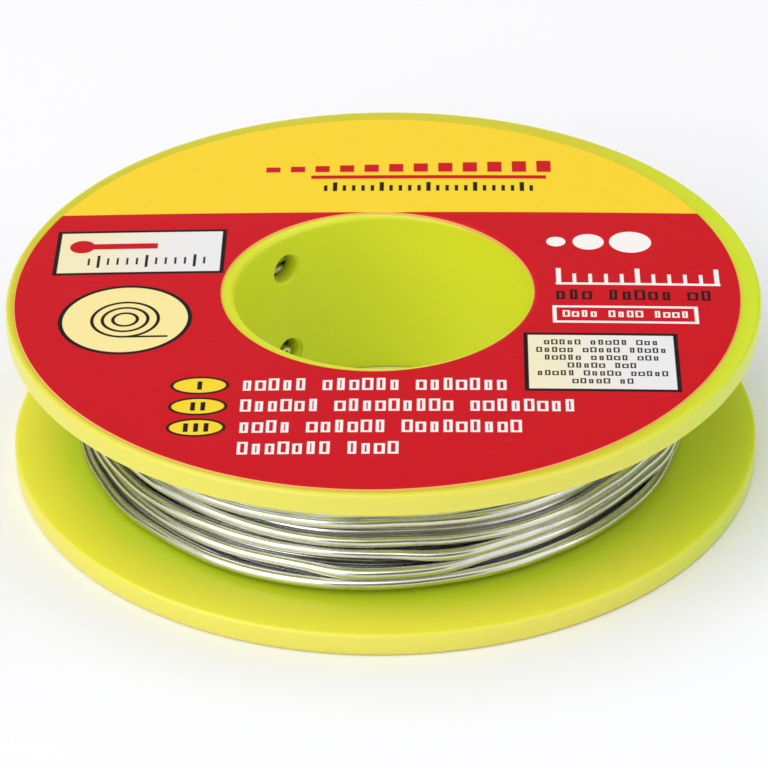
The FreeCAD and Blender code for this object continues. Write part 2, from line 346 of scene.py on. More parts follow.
def closed_tubes(name: str, tubes: Iterable[np.ndarray], crease: Crease) -> bpy.types.Object:
    """Makes one object of several tubes, each closed at both ends.

    Args:
        name: the object's name.
        tubes: the rings of each tube, one row of points for each ring.
        crease: how sharp an edge has to be to stay an edge.

    Returns:
        The object, in the scene.
    """
    points, faces, start = [], [], 0
    for rings in tubes:
        rows, sides = rings.shape[:2]
        last = start + (rows - 1) * sides
        faces.extend((grid_faces(rows, sides, False, True) + start).tolist())
        faces.append(list(range(start, start + sides)))
        faces.append(list(range(last, last + sides)))
        points.append(rings.reshape(-1, 3))
        start = last + sides
    return mesh_object(name, np.concatenate(points), faces, crease)


def even_turns(count: int) -> np.ndarray:
    """Angles that go once round in equal steps, in radians."""
    return np.arange(count) * (2 * math.pi / count)


def turned(outline: np.ndarray, angles: np.ndarray) -> np.ndarray:
    """Turns an outline round the spool's axis.

    Args:
        outline: radius and height of each of its points.
        angles: where the copies stand, in radians.

    Returns:
        Points, one row of the outline's for each angle.
    """
    radius, height = outline[None, :, 0], outline[None, :, 1]
    turn = angles[:, None]
    return np.stack((radius * np.cos(turn), radius * np.sin(turn), height + 0 * turn), axis=-1)


def rings_of(profile: Iterable[Pair], sides: int) -> np.ndarray:
    """Rings of points round an upright axis, from the radius and height of each ring."""
    return turned(np.array(tuple(profile)), even_turns(sides)).transpose(1, 0, 2)


def rounded_outline(corners: Iterable[tuple[float, float, float]], steps: int, rest: float) -> np.ndarray:
    """Rounds the right-angled corners of a closed outline.

    Args:
        corners: radius, height and rounding of each corner.
        steps: straight pieces in each rounding.
        rest: how far past a rounding its flat face gets a line of its own, which keeps it flat.

    Returns:
        The outline's points.
    """
    listed = [np.array(corner) for corner in corners]
    points = []
    for before, corner, after in zip(listed[-1:] + listed[:-1], listed, listed[1:] + listed[:1]):
        back = (before - corner)[:2] / np.linalg.norm((before - corner)[:2])
        on = (after - corner)[:2] / np.linalg.norm((after - corner)[:2])
        place, size = corner[:2], corner[2]
        centre = place + (back + on) * size
        points.append(place + back * (size + rest))
        for turn in np.linspace(0, math.pi / 2, steps + 1):
            points.append(centre - on * size * math.cos(turn) - back * size * math.sin(turn))
        points.append(place + on * (size + rest))
    return np.array(points)


def carve(piece: bpy.types.Object, tool: bpy.types.Object, carving: Carving, crease: Crease) -> None:
    """Cuts a tool out of a piece, or adds it, and removes the tool.

    Args:
        piece: object to change.
        tool: closed object that cuts or adds.
        carving: which of the two.
        crease: how the new mesh is shaded.
    """
    step = piece.modifiers.new("carve", "BOOLEAN")
    step.operation = carving.value
    step.object = tool
    step.solver = "EXACT"
    seen = piece.evaluated_get(bpy.context.evaluated_depsgraph_get())
    made = bpy.data.meshes.new_from_object(seen)
    piece.modifiers.clear()
    piece.data = made
    shade(made, crease)
    bpy.data.objects.remove(tool)


def settle(piece: bpy.types.Object, material: bpy.types.Material, slot: Slot, *nodes: str) -> None:
    """Gives a piece its finish, hangs it on the body and hides its CAD nodes, and says so in the log.

    Args:
        piece: the object.
        material: its finish.
        slot: the record's slot for that finish; not used.
        *nodes: the CAD nodes that it stands for.
    """
    piece.data.materials.clear()
    piece.data.materials.append(material)
    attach(piece, BODY)
    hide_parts(*nodes)
    log.info("%s: %d faces, stands for %s", piece.name, len(piece.data.polygons), ", ".join(nodes))


@dataclass(frozen=True)
class LimePlastic:
    """Glossy lime plastic that lets some light into itself, with painted shade and painted light in its
    colour.
    """

    lit: Colour = (0.76, 0.785, 0.028)
    # Painted shade: greener and darker from the hub out to near the rims, for the shade between the
    # flanges.
    deep: Colour = (0.57, 0.765, 0.024)
    # Painted shade: a greener tone on the bore's wall, strongest on its left side.
    bore: Colour = (0.765, 0.855, 0.05)
    # Painted light: paler and yellower on the lower flange near its rim.
    outer: Colour = (0.91, 0.86, 0.058)
    # Painted shade: darker on the upper flange near its rim.
    upper: Colour = (0.66, 0.61, 0.03)
    # Painted highlight: a pale, creamy band on the rims' edges and outer faces.
    rim: Colour = (0.80, 0.745, 0.12)
    # Painted shade: greener on the spool's right side.
    far: Colour = (0.64, 0.795, 0.028)
    cover: float = 0.85
    # Share of the painted shade on the right side.
    right_shade_cover: float = 0.8
    clouds: float = 0.4
    glow_mm: Colour = (1.2, 2.2, 0.25)
    flow: Grain = Grain(0.16, 3.0)
    skin: Grain = Grain(1.4, 3.0, 0.6)
    rub: Grain = Grain(1.1, 4.0, 0.65)

    def tone(self, graph: Graph, place: Signal, spool: "MouldedSpool") -> Signal:
        """Colours the plastic by where it is on the spool, with painted shade and painted light.

        Args:
            graph: the material's graph.
            place: place on the spool, in millimetres.
            spool: the spool with its sizes.

        Returns:
            The colour.
        """
        x, y, z = graph.parts_of(place)
        radius = (x * x + y * y).root()
        bore, rim = spool.bore_radius, spool.rim_radius
        flow = graph.noise(graph.vector_of(x * 0.6, y * 0.6, z), self.flow)
        # Painted shade from the hub out to near the rims, mixed with real cloudy flow marks in the plastic.
        between = radius.eased(bore, spool.hub_radius + 0.5) * radius.eased(rim - 6.0, rim - 2.0, 1.0, 0.0)
        colour = graph.blend(between * self.cover + (flow - 0.5) * self.clouds, self.lit, self.deep)
        # Painted shade: greener on the bore's wall, most on its left.
        inside = radius.eased(bore + 0.1, bore + 0.5, 1.0, 0.0) * x.eased(-9.0, 6.0, 1.0, 0.3)
        colour = graph.blend(inside, colour, self.bore)
        # Painted light on the lower flange and painted shade on the upper one, both near the rims.
        edge = graph.blend(z.eased(spool.flange, spool.height), self.outer, self.upper)
        colour = graph.blend(radius.eased(rim - 5.0, rim - 0.5), colour, edge)
        # Painted highlight: a pale band on the rims' edges.
        colour = graph.blend(radius.eased(rim - 0.3, rim - 0.02) * self.cover, colour, self.rim)
        # Painted shade: greener towards the right side.
        return graph.blend(x.eased(spool.hub_radius, rim) * self.right_shade_cover, colour, self.far)

    def material(self, spool: "MouldedSpool") -> bpy.types.Material:
        """Makes the finish.

        Args:
            spool: the spool that it goes on.

        Returns:
            The material.
        """
        material, graph = new_material("lime_plastic")
        place = graph.place_mm()
        x, y, z = graph.parts_of(place)
        skin = graph.noise(place, self.skin)
        rubbed = graph.noise(graph.vector_of(x * 3.0, y * 0.4, z * 2.0), self.rub).eased(0.56, 0.72)
        graph.surface(
            {
                "Base Color": self.tone(graph, place, spool),
                "Roughness": 0.25 + skin * 0.1 + rubbed * 0.12,
                "Specular IOR Level": 0.4,
                "Subsurface Weight": 0.4,
                "Subsurface Radius": tuple(depth * MM for depth in self.glow_mm),
                "Subsurface Scale": 1.0,
                "Normal": graph.relief(skin + rubbed * 0.3, 0.006),
            }
        )
        return material


@dataclass(frozen=True)
class DrawnSolder:
    """Drawn tin alloy: bright, with fine marks along the wire and a faint grey bloom."""

    bright: Colour = (0.72, 0.72, 0.712)
    bloom: Colour = (0.50, 0.497, 0.485)
    marks_per_mm: float = 9.0
    marks: Grain = Grain(1.0, 3.0, 0.6)
    dull: Grain = Grain(1.0, 3.0, 0.55)

    def material(self) -> bpy.types.Material:
        """Makes the finish, with its marks drawn round the spool's axis as the turns are.

        Returns:
            The material.
        """
        material, graph = new_material("drawn_solder")
        place = graph.place_mm()
        x, y, z = graph.parts_of(place)
        radius = (x * x + y * y).root()
        turn = x.angle_from(y * -1.0)
        fine = self.marks_per_mm
        marks = graph.noise(graph.vector_of(radius * fine, z * fine, turn * fine), self.marks)
        dull = graph.noise(graph.vector_of(radius * 1.2, z * 1.2, turn * 7.0), self.dull)
        colour = graph.blend(dull.eased(0.42, 0.72) * 0.6 + (marks - 0.5) * 0.22, self.bright, self.bloom)
        graph.surface(
            {
                "Base Color": colour,
                "Metallic": 1.0,
                "Roughness": 0.18 + marks * 0.06 + dull.eased(0.4, 0.7) * 0.08,
                "Normal": graph.relief(marks, 0.0018),
            }
        )
        return material


@dataclass(frozen=True)
class FluxResin:
    """Amber flux in the wire's core."""

    amber: Colour = (0.55, 0.30, 0.06)
    dark: Colour = (0.30, 0.13, 0.02)
    glow_mm: Colour = (0.3, 0.15, 0.03)
    grain: Grain = Grain(12.0, 3.0)

    def material(self) -> bpy.types.Material:
        """Makes the finish.

        Returns:
            The material.
        """
        material, graph = new_material("flux_resin")
        grain = graph.noise(graph.place_mm(), self.grain)
        graph.surface(
            {
                "Base Color": graph.blend(grain.eased(0.4, 0.7), self.amber, self.dark),
                "Roughness": 0.2 + grain * 0.2,
                "Subsurface Weight": 0.4,
                "Subsurface Radius": tuple(depth * MM for depth in self.glow_mm),
                "Subsurface Scale": 1.0,
                "Normal": graph.relief(grain, 0.01),
            }
        )
        return material


class Mark:
    """A shape printed on the label.

    A place is how far to the right of the label's middle, and behind it, in millimetres. A half is
    half of a width and half of a height.
    """

    def distance(self, across: Signal, back: Signal) -> Signal:
        """How far from the shape's edge a place is, in millimetres, and below nought inside it."""
        raise NotImplementedError


@dataclass(frozen=True)
class Box(Mark):
    """A rectangle."""

    centre: Pair
    half: Pair

    def distance(self, across: Signal, back: Signal) -> Signal:
        """Distance from its sides or from its ends, whichever is larger."""
        side = abs(across - self.centre[0]) - self.half[0]
        return side.most(abs(back - self.centre[1]) - self.half[1])


@dataclass(frozen=True)
class Disc(Mark):
    """A round spot."""

    centre: Pair
    radius: float

    def distance(self, across: Signal, back: Signal) -> Signal:
        """Distance from its rim."""
        right, behind = across - self.centre[0], back - self.centre[1]
        return (right * right + behind * behind).root() - self.radius


@dataclass(frozen=True)
class Oval(Mark):
    """An oval."""

    centre: Pair
    half: Pair

    def grown(self, wider: float) -> "Oval":
        """The same oval, wider by this all round."""
        return replace(self, half=(self.half[0] + wider, self.half[1] + wider))

    def distance(self, across: Signal, back: Signal) -> Signal:
        """Distance from its rim, which is true on its shorter axis and stretched elsewhere.

        Args:
            across: how far to the right of the label's middle a place is.
            back: how far behind it.

        Returns:
            The distance in millimetres, below nought inside.
        """
        right = (across - self.centre[0]) / self.half[0]
        behind = (back - self.centre[1]) / self.half[1]
        return ((right * right + behind * behind).root() - 1.0) * min(self.half)


@dataclass(frozen=True)
class Outline(Mark):
    """A line along another shape's edge."""

    shape: Mark
    half_width: float

    def distance(self, across: Signal, back: Signal) -> Signal:
        """Distance from the line's sides."""
        return abs(self.shape.distance(across, back)) - self.half_width


@dataclass(frozen=True)
class Strokes(Mark):
    """A row of upright strokes that fills a rectangle, one of them in its middle."""

    centre: Pair
    half: Pair
    pitch: float
    half_width: float

    def distance(self, across: Signal, back: Signal) -> Signal:
        """Distance from the nearest stroke's side, or from the rectangle where that is larger.

        Args:
            across: how far to the right of the label's middle a place is.
            back: how far behind it.

        Returns:
            The distance in millimetres, below nought inside.
        """
        steps = (across - self.centre[0]) / self.pitch
        stroke = abs(steps - round(steps)) * self.pitch - self.half_width
        return Box(self.centre, self.half).distance(across, back).most(stroke)


@dataclass(frozen=True)
class Blocks(Mark):
    """A row of small upright hollow blocks in groups, some wider and some taller.

    first is the middle of the first block, count how many places the row has, and spaces the places
    that stay empty, counted from nought. What is wide, tall or a wall is a share of the pitch or of
    the height.
    """

    HALF_BLOCK = 0.35
    HALF_WALL = 0.115
    WIDER = 0.07
    TALLER = 0.2

    first: Pair
    count: int
    half_height: float
    pitch: float
    spaces: tuple[int, ...]

    def distance(self, across: Signal, back: Signal) -> Signal:
        """Distance from the walls of the nearest block that isn't left out.

        Args:
            across: how far to the right of the label's middle a place is.
            back: how far behind it.

        Returns:
            The distance in millimetres, below nought inside.
        """
        steps = (across - self.first[0]) / self.pitch
        whole = round(steps)
        wider = (whole * 1.7 + self.first[1] * 3.0).sine() * (self.WIDER * self.pitch)
        side = abs(steps - whole) * self.pitch - self.HALF_BLOCK * self.pitch - wider
        tall = (whole * 2.4 + self.first[1]).sine().eased(0.1, 0.11) * (self.TALLER * self.half_height)
        upright = abs(back - self.first[1] - tall) - tall - self.half_height
        wall = self.HALF_WALL * self.pitch
        left_out = abs(whole - (self.count - 1) / 2) - self.count / 2
        for space in self.spaces:
            left_out = left_out.most(0.5 - abs(whole - space))
        return (abs(upright.most(side) + wall) - wall).most(left_out)


@dataclass(frozen=True)
class LabelPrint:
    """Red and yellow print with plain gauge marks, on a glossy film with a pale cut edge.

    The film is yellow behind the chord and red before it. The print bows forwards at both sides, by
    the bow times the square of the distance from its middle. A line's pair says how far outside and
    inside its shape's edge the line reaches.
    """

    red: Colour = (0.59, 0.004, 0.012)
    yellow: Colour = (0.94, 0.66, 0.030)
    cream: Colour = (0.93, 0.79, 0.34)
    pale: Colour = (0.82, 0.81, 0.82)
    white: Colour = (0.92, 0.88, 0.86)
    black: Colour = (0.008, 0.005, 0.006)
    cut_edge: Colour = (0.87, 0.42, 0.14)
    chord: float = 12.85
    bow: float = 0.00065
    softness: float = 0.035
    chord_softness: float = 0.04
    cut_width: Pair = (0.08, 0.09)
    cut_softness: float = 0.02
    panels: tuple[Mark, ...] = (
        Box((-19.9, 6.45), (6.9, 3.45)),
        Disc((-20.45, -4.5), 5.25),
        Box((18.05, -11.35), (6.0, 4.25)),
    )
    panel_line: Pair = (0.2, 0.16)
    ovals: tuple[Oval, ...] = tuple(Oval((-13.85, back), (2.1, 1.1)) for back in (-14.85, -17.95, -21.05))
    oval_line: Pair = (0.24, 0.03)
    tally_pitch: float = 0.8
    tally_half: Pair = (0.19, 0.62)
    caption_top: Pair = (18.05, -8.4)
    caption_counts: tuple[int, ...] = (15, 17, 15, 9, 17, 8)
    caption_pitch: Pair = (0.62, 1.18)
    caption_half: float = 0.32
    caption_spaces: tuple[int, ...] = (5, 11)
    first_bar: Box = Box((-9.3, 20.35), (0.62, 0.45))
    bar_step: Pair = (2.12, 0.05)
    bar_count: int = 12
    dark_marks: tuple[Mark, ...] = (
        Strokes((-19.3, 4.95), (5.1, 0.55), 0.8, 0.09),
        Strokes((-19.3, 4.95), (5.1, 1.0), 4.0, 0.12),
        Outline(Disc((-20.45, -4.5), 1.0), 0.14),
        Outline(Disc((-20.45, -4.5), 1.85), 0.14),
        Outline(Disc((-20.45, -4.5), 2.7), 0.14),
        Box((-18.85, -7.2), (2.0, 0.14)),
        Blocks((15.0, -0.95), 12, 0.66, 1.08, (3, 9)),
        Strokes((4.1, 17.05), (9.3, 0.5), 0.8, 0.15),
        Strokes((4.1, 17.3), (9.3, 0.78), 4.0, 0.19),
    )
    red_marks: tuple[Mark, ...] = (
        Box((4.1, 19.0), (10.1, 0.3)),
        Box((-21.5, 7.45), (3.0, 0.45)),
        Disc((-24.8, 7.45), 1.05),
    )
    white_marks: tuple[Mark, ...] = (
        Disc((14.8, 7.85), 0.8),
        Disc((17.5, 7.85), 1.3),
        Disc((21.0, 7.85), 1.75),
        Box((21.4, 0.95), (6.75, 0.17)),
        Strokes((21.4, 1.75), (6.7, 0.8), 1.3, 0.15),
        Strokes((21.4, 2.2), (6.7, 1.25), 6.5, 0.2),
        Outline(Box((20.2, -3.95), (5.75, 1.2)), 0.16),
        Blocks((15.4, -3.95), 14, 0.42, 0.74, (4, 9)),
        Blocks((-10.1, -14.95), 20, 0.74, 1.06, (5, 12)),
        Blocks((-10.1, -18.05), 25, 0.74, 1.06, (6, 16)),
        Blocks((-10.1, -21.15), 21, 0.74, 1.06, (4, 11)),
        Blocks((-10.1, -24.25), 12, 0.74, 1.06, (7,)),
    )
    blot: Grain = Grain(0.9, 4.0, 0.6)
    film: Grain = Grain(2.2, 3.0, 0.55)
    scuff: Grain = Grain(1.3, 5.0, 0.7)

    def tallies(self) -> list[Mark]:
        """One stroke in the first oval, two in the second and three in the third.

        Returns:
            The strokes.
        """
        strokes = []
        for count, (right, back) in enumerate((oval.centre for oval in self.ovals), 1):
            for place in range(count):
                aside = (place - (count - 1) / 2) * self.tally_pitch
                strokes.append(Box((right + aside, back), self.tally_half))
        return strokes

    def caption(self) -> list[Mark]:
        """The rows of small blocks in the lowest panel, each about the panel's middle.

        Returns:
            The rows, from the back one forwards.
        """
        pitch, down = self.caption_pitch
        rows = []
        for row, count in enumerate(self.caption_counts):
            first = (self.caption_top[0] - (count - 1) * pitch / 2, self.caption_top[1] - down * row)
            rows.append(Blocks(first, count, self.caption_half, pitch, self.caption_spaces))
        return rows

    def wedge(self) -> list[Mark]:
        """A row of bars, each taller than the one before it.

        Returns:
            The bars, from the left.
        """
        (right, back), (wide, high) = self.first_bar.centre, self.first_bar.half
        aside, taller = self.bar_step
        places = range(self.bar_count)
        return [Box((right + aside * n, back + taller * n), (wide, high + taller * n)) for n in places]

    def shade_of_panels(self, graph: Graph, across: Signal, back: Signal) -> Signal:
        """The pale panels' colour, which runs from cream to nearly white towards the right of each.

        Args:
            graph: the material's graph.
            across: how far to the right of the label's middle a place is, in millimetres.
            back: how far behind it.

        Returns:
            The colour.
        """
        upper_left = across.eased(0.0, 0.1, 1.0, 0.0) * back.eased(1.0, 2.0)
        run = upper_left * across.eased(-26.0, -15.0, 0.35, 1.0)
        run = run + across.eased(0.0, 0.1) * across.eased(12.0, 22.0, 0.45, 1.0)
        return graph.blend(run, self.cream, self.pale)

    def printed(self, graph: Graph, colour: Signal, across: Signal, back: Signal) -> Signal:
        """Prints every mark over a colour, layer by layer.

        Args:
            graph: the material's graph.
            colour: the film's colour without the marks.
            across: how far to the right of the label's middle a place is, in millimetres.
            back: how far behind it.

        Returns:
            The printed colour.
        """

        def edge_of(marks: Iterable[Mark]) -> Signal:
            """Distance from the edge of the nearest of these shapes."""
            return reduce(Signal.least, [mark.distance(across, back) for mark in marks])

        panels = edge_of(self.panels)
        layers = (
            (panels - self.panel_line[0], self.black),
            (edge_of(oval.grown(self.oval_line[0]) for oval in self.ovals), self.black),
            (panels + self.panel_line[1], self.shade_of_panels(graph, across, back)),
            (edge_of(oval.grown(-self.oval_line[1]) for oval in self.ovals), self.yellow),
            (edge_of((*self.dark_marks, *self.tallies(), *self.caption())), self.black),
            (edge_of((*self.red_marks, *self.wedge())), self.red),
            (edge_of(self.white_marks), self.white),
        )
        for edge, tint in layers:
            colour = graph.blend(edge.eased(-self.softness, self.softness, 1.0, 0.0), colour, tint)
        return colour

    def material(self, label: "FaceLabel") -> bpy.types.Material:
        """Makes the finish.

        Args:
            label: the label that it goes on.

        Returns:
            The material.
        """
        material, graph = new_material("label_print")
        place = graph.place_mm()
        x, y, _ = graph.parts_of(place)
        right = x - label.centre[0]
        behind = y - label.centre[1]
        tilt_cos = math.cos(math.radians(label.tilt))
        tilt_sin = math.sin(math.radians(label.tilt))
        across = right * tilt_cos + behind * tilt_sin
        back = behind * tilt_cos - right * tilt_sin + across * across * self.bow
        chord, soft = self.chord, self.chord_softness
        colour = graph.blend(back.eased(chord - soft, chord + soft), self.red, self.yellow)
        colour = graph.blend(graph.noise(place, self.blot).eased(0.5, 0.9) * 0.06, colour, self.black)
        colour = self.printed(graph, colour, across, back)
        outer = Disc(label.slip, label.outer_radius - self.cut_width[0]).distance(right, behind)
        hole = Disc((0.0, 0.0), label.hole_radius + self.cut_width[1]).distance(right, behind)
        cut = outer.most(hole * -1.0).eased(-self.cut_softness, self.cut_softness)
        colour = graph.blend(cut, colour, self.cut_edge)
        film = graph.noise(place, self.film)
        scuff = graph.noise(graph.vector_of(x * 0.35, y * 2.6, 0.0), self.scuff).eased(0.6, 0.74)
        graph.surface(
            {
                "Base Color": graph.blend(scuff * 0.05, colour, self.white),
                "Roughness": 0.34 + film * 0.08 + scuff * 0.16,
                "Specular IOR Level": 0.12,
                "Normal": graph.relief(film + scuff * 0.2, 0.004),
            }
        )
        return material


@dataclass(frozen=True)
class Dimple:
    """A round mark in the spool's underside. Lengths are in millimetres and its bearing in degrees."""

    out: float
    bearing: float
    radius: float
    depth: float
    broken_edge: Pair = (0.04, 0.03)

    def middle(self) -> np.ndarray:
        """Where it is on the underside."""
        turn = math.radians(self.bearing)
        return np.array((self.out * math.cos(turn), self.out * math.sin(turn), 0.0))

    def cutter(self) -> np.ndarray:
        """The cutter that sinks it, from a millimetre below the underside upwards.

        Returns:
            The cutter's rings.
        """
        inward, down = self.broken_edge
        bottom = (self.radius - inward, self.depth)
        wall = ((self.radius, -1.0), (self.radius, self.depth - down))
        return rings_of((*wall, bottom), sides=40) + self.middle()


@dataclass
class MouldedSpool:
    """The moulding: a hub with two wire holes between two flanges. Lengths are in millimetres.

    A step of hole_flare says how much wider a wire hole is, and how far behind the bore's wall.
    flash_lines are lines of the outline beside a parting line, as multiples of the ridge's width.
    The gate's stub has a radius at each height. A tear says which of its rings waves up and down,
    how far, how many times round, and shifted by what angle in radians.
    """

    rim_radius: float
    height: float
    flange: float
    bore_radius: float
    hole_turn: float
    hole_height: float
    hub_wall: float = 1.5
    hole_radius: float = 1.25
    hole_flare: tuple[Pair, ...] = ((0.2, 0.02), (0.07, 0.09), (0.0, 0.25))
    rim_round: float = 0.4
    lip_round: float = 0.3
    foot_round: float = 0.3
    mouth_round: float = 0.55
    lower_mouth_round: float = 0.2
    bore_draft: float = 0.22
    segments: int = 384
    flash_turn: float = math.radians(-12)
    flash_height: float = 0.03
    flash_width: float = 0.12
    flash_lines: tuple[float, ...] = (-2.0, -1.0, -0.5, 0.0, 0.5, 1.0, 2.0)
    ejectors: tuple[Dimple, ...] = tuple(Dimple(22.5, 45.0 + 90.0 * n, 1.5, 0.05) for n in range(4))
    gate: Dimple = Dimple(18.0, 200.0, 1.6, 0.35)
    stub: tuple[Pair, ...] = ((0.62, 0.8), (0.6, 0.33), (0.52, 0.16), (0.3, 0.1))
    stub_tears: tuple[tuple[int, float, int, float], ...] = ((-1, 0.04, 3, 0.7), (-2, 0.03, 2, 0.0))
    finish: LimePlastic = field(default_factory=LimePlastic)

    @property
    def hub_radius(self) -> float:
        """Outside radius of the hub."""
        return self.bore_radius + self.hub_wall

    def outline(self) -> np.ndarray:
        """The cut through one side of the moulding, with its rounded edges.

        Returns:
            Radius and height of its points.
        """
        low, high = self.flange, self.height - self.flange
        corners = (
            (self.bore_radius - self.bore_draft, 0.0, self.lower_mouth_round),
            (self.rim_radius, 0.0, self.rim_round),
            (self.rim_radius, low, self.lip_round),
            (self.hub_radius, low, self.foot_round),
            (self.hub_radius, high, self.foot_round),
            (self.rim_radius, high, self.lip_round),
            (self.rim_radius, self.height, self.rim_round),
            (self.bore_radius, self.height, self.mouth_round),
        )
        return rounded_outline(corners, steps=8, rest=0.12)

    def turns(self) -> np.ndarray:
        """Where the outline is repeated: evenly, and closer together at the mould's parting lines.

        Returns:
            The angles in radians.
        """
        near = np.array(self.flash_lines) * self.flash_width / self.rim_radius
        lines = (self.flash_turn + near, self.flash_turn + math.pi + near)
        every = np.concatenate((even_turns(self.segments), *lines))
        return np.unique(np.round(every % (2 * math.pi), 6))

    def raise_flash(self, points: np.ndarray, turns: np.ndarray) -> None:
        """Lifts the fine ridge that the mould's halves leave across both rims.

        Args:
            points: the moulding's points, which are moved.
            turns: the angle of each row of them.
        """
        away = np.sin(turns - self.flash_turn) * self.rim_radius
        ridge = self.flash_height * np.exp(-((away / self.flash_width) ** 2))
        radius = np.hypot(points[..., 0], points[..., 1])
        grown = np.where(radius > self.rim_radius - self.lip_round, ridge[:, None] / radius, 0.0)
        points[..., :2] *= 1 + grown[..., None]

    def hole_tool(self) -> bpy.types.Object:
        """Round cutters for the two wire holes, opened a little towards the bore.

        Returns:
            The object that cuts them.
        """
        flare = [(self.hole_radius + wider, self.bore_radius + out) for wider, out in self.hole_flare]
        inner_end = (flare[0][0], self.bore_radius - 1.0)
        outer_end = (self.hole_radius, self.hub_radius + 1.0)
        side, up, out = np.moveaxis(rings_of((inner_end, *flare, outer_end), sides=48), -1, 0)
        x = out * math.cos(self.hole_turn) - side * math.sin(self.hole_turn)
        y = out * math.sin(self.hole_turn) + side * math.cos(self.hole_turn)
        heights = (self.hole_height, self.height - self.hole_height)
        tubes = [np.stack((x, y, up + height), axis=-1) for height in heights]
        return closed_tubes("hole_tool", tubes, Crease.MOULDED)

    def underside_tool(self) -> bpy.types.Object:
        """Cutters for the marks of the ejector pins and for the deeper one of the gate."""
        tubes = [mark.cutter() for mark in (*self.ejectors, self.gate)]
        return closed_tubes("underside_tool", tubes, Crease.MOULDED)

    def stub_tool(self) -> bpy.types.Object:
        """The small torn stub that the gate leaves in its dimple.

        Returns:
            The object to add.
        """
        sides = 32
        rings = rings_of(self.stub, sides).copy()
        for ring, depth, waves, shift in self.stub_tears:
            rings[ring, :, 2] += depth * np.sin(even_turns(sides) * waves + shift)
        return closed_tubes("gate_stub", [rings + self.gate.middle()], Crease.MOULDED)

    def build(self) -> None:
        """Builds the moulding and dresses it."""
        turns = self.turns()
        outline = self.outline()
        points = turned(outline, turns)
        self.raise_flash(points, turns)
        faces = grid_faces(len(turns), len(outline), True, True)[:, ::-1].tolist()
        spool = mesh_object("moulded_spool", points, faces, Crease.MOULDED)
        carve(spool, self.hole_tool(), Carving.CUT, Crease.MOULDED)
        carve(spool, self.underside_tool(), Carving.CUT, Crease.MOULDED)
        carve(spool, self.stub_tool(), Carving.ADD, Crease.MOULDED)
        settle(spool, self.finish.material(self), Slot.PLASTIC, "spool_body")


@dataclass
class FaceLabel:
    """The ring of printed film on the upper flange. Lengths are in millimetres.

    Its outer circle slips a little off the hole's centre. The cut edge is edge_run bevels wide and
    rises by edge_rise of the film's thickness.
    """

    centre: Pair
    outer_radius: float
    base: float
    thickness: float
    spool: MouldedSpool
    hole_radius: float = 12.8
    slip: Pair = (-0.03, -0.3)
    tilt: float = -1.2
    bevel: float = 0.08
    edge_run: tuple[float, ...] = (0.0, 0.45, 0.8, 1.0, 1.6)
    edge_rise: tuple[float, ...] = (0.0, 0.62, 0.92, 1.0, 1.0)
    inner_rings: tuple[float, ...] = (0.25, 0.4, 0.6)
    flat_rings: int = 14
    segments: int = 384
    finish: LabelPrint = field(default_factory=LabelPrint)

    def face_height(self, radius: np.ndarray) -> np.ndarray:
        """Height of the spool's face, which falls away over the rounded mouth of its bore.

        Args:
            radius: distances from the spool's axis.

        Returns:
            The height at each.
        """
        curve = self.spool.mouth_round
        inside = np.clip(self.spool.bore_radius + curve - radius, 0.0, curve)
        return self.base - curve + np.sqrt(curve**2 - inside**2)

    def build(self) -> None:
        """Builds the film, with its cut edges pressed down a little, and dresses it."""
        start, end = self.hole_radius, self.outer_radius
        near = np.array(self.edge_run) * self.bevel
        lift = np.array(self.edge_rise) * self.thickness
        inner = start + np.array(self.inner_rings)
        middle = np.concatenate((inner, np.linspace(start + 1, end - 1, self.flat_rings)))
        radii = np.concatenate((start + near, middle, end - near[::-1]))
        outward = np.clip((radii - start) / (end - start), 0, 1)
        lifts = np.concatenate((lift, np.full(len(middle), self.thickness), lift[::-1]))
        top = turned(np.stack((radii, lifts), axis=1), even_turns(self.segments))
        top[..., :2] += np.array(self.centre) + outward[None, :, None] * np.array(self.slip)
        rest = self.face_height(np.hypot(top[..., 0], top[..., 1]))
        top[..., 2] += rest
        under = top[:, ::-1].copy()
        under[..., 2] = rest[:, ::-1]
        points = np.concatenate((top, under[:, 1:-1]), axis=1)
        faces = grid_faces(self.segments, points.shape[1], True, True).tolist()
        film = mesh_object("printed_label", points, faces, Crease.FILM)
        settle(film, self.finish.material(self), Slot.LABEL, "face_label")


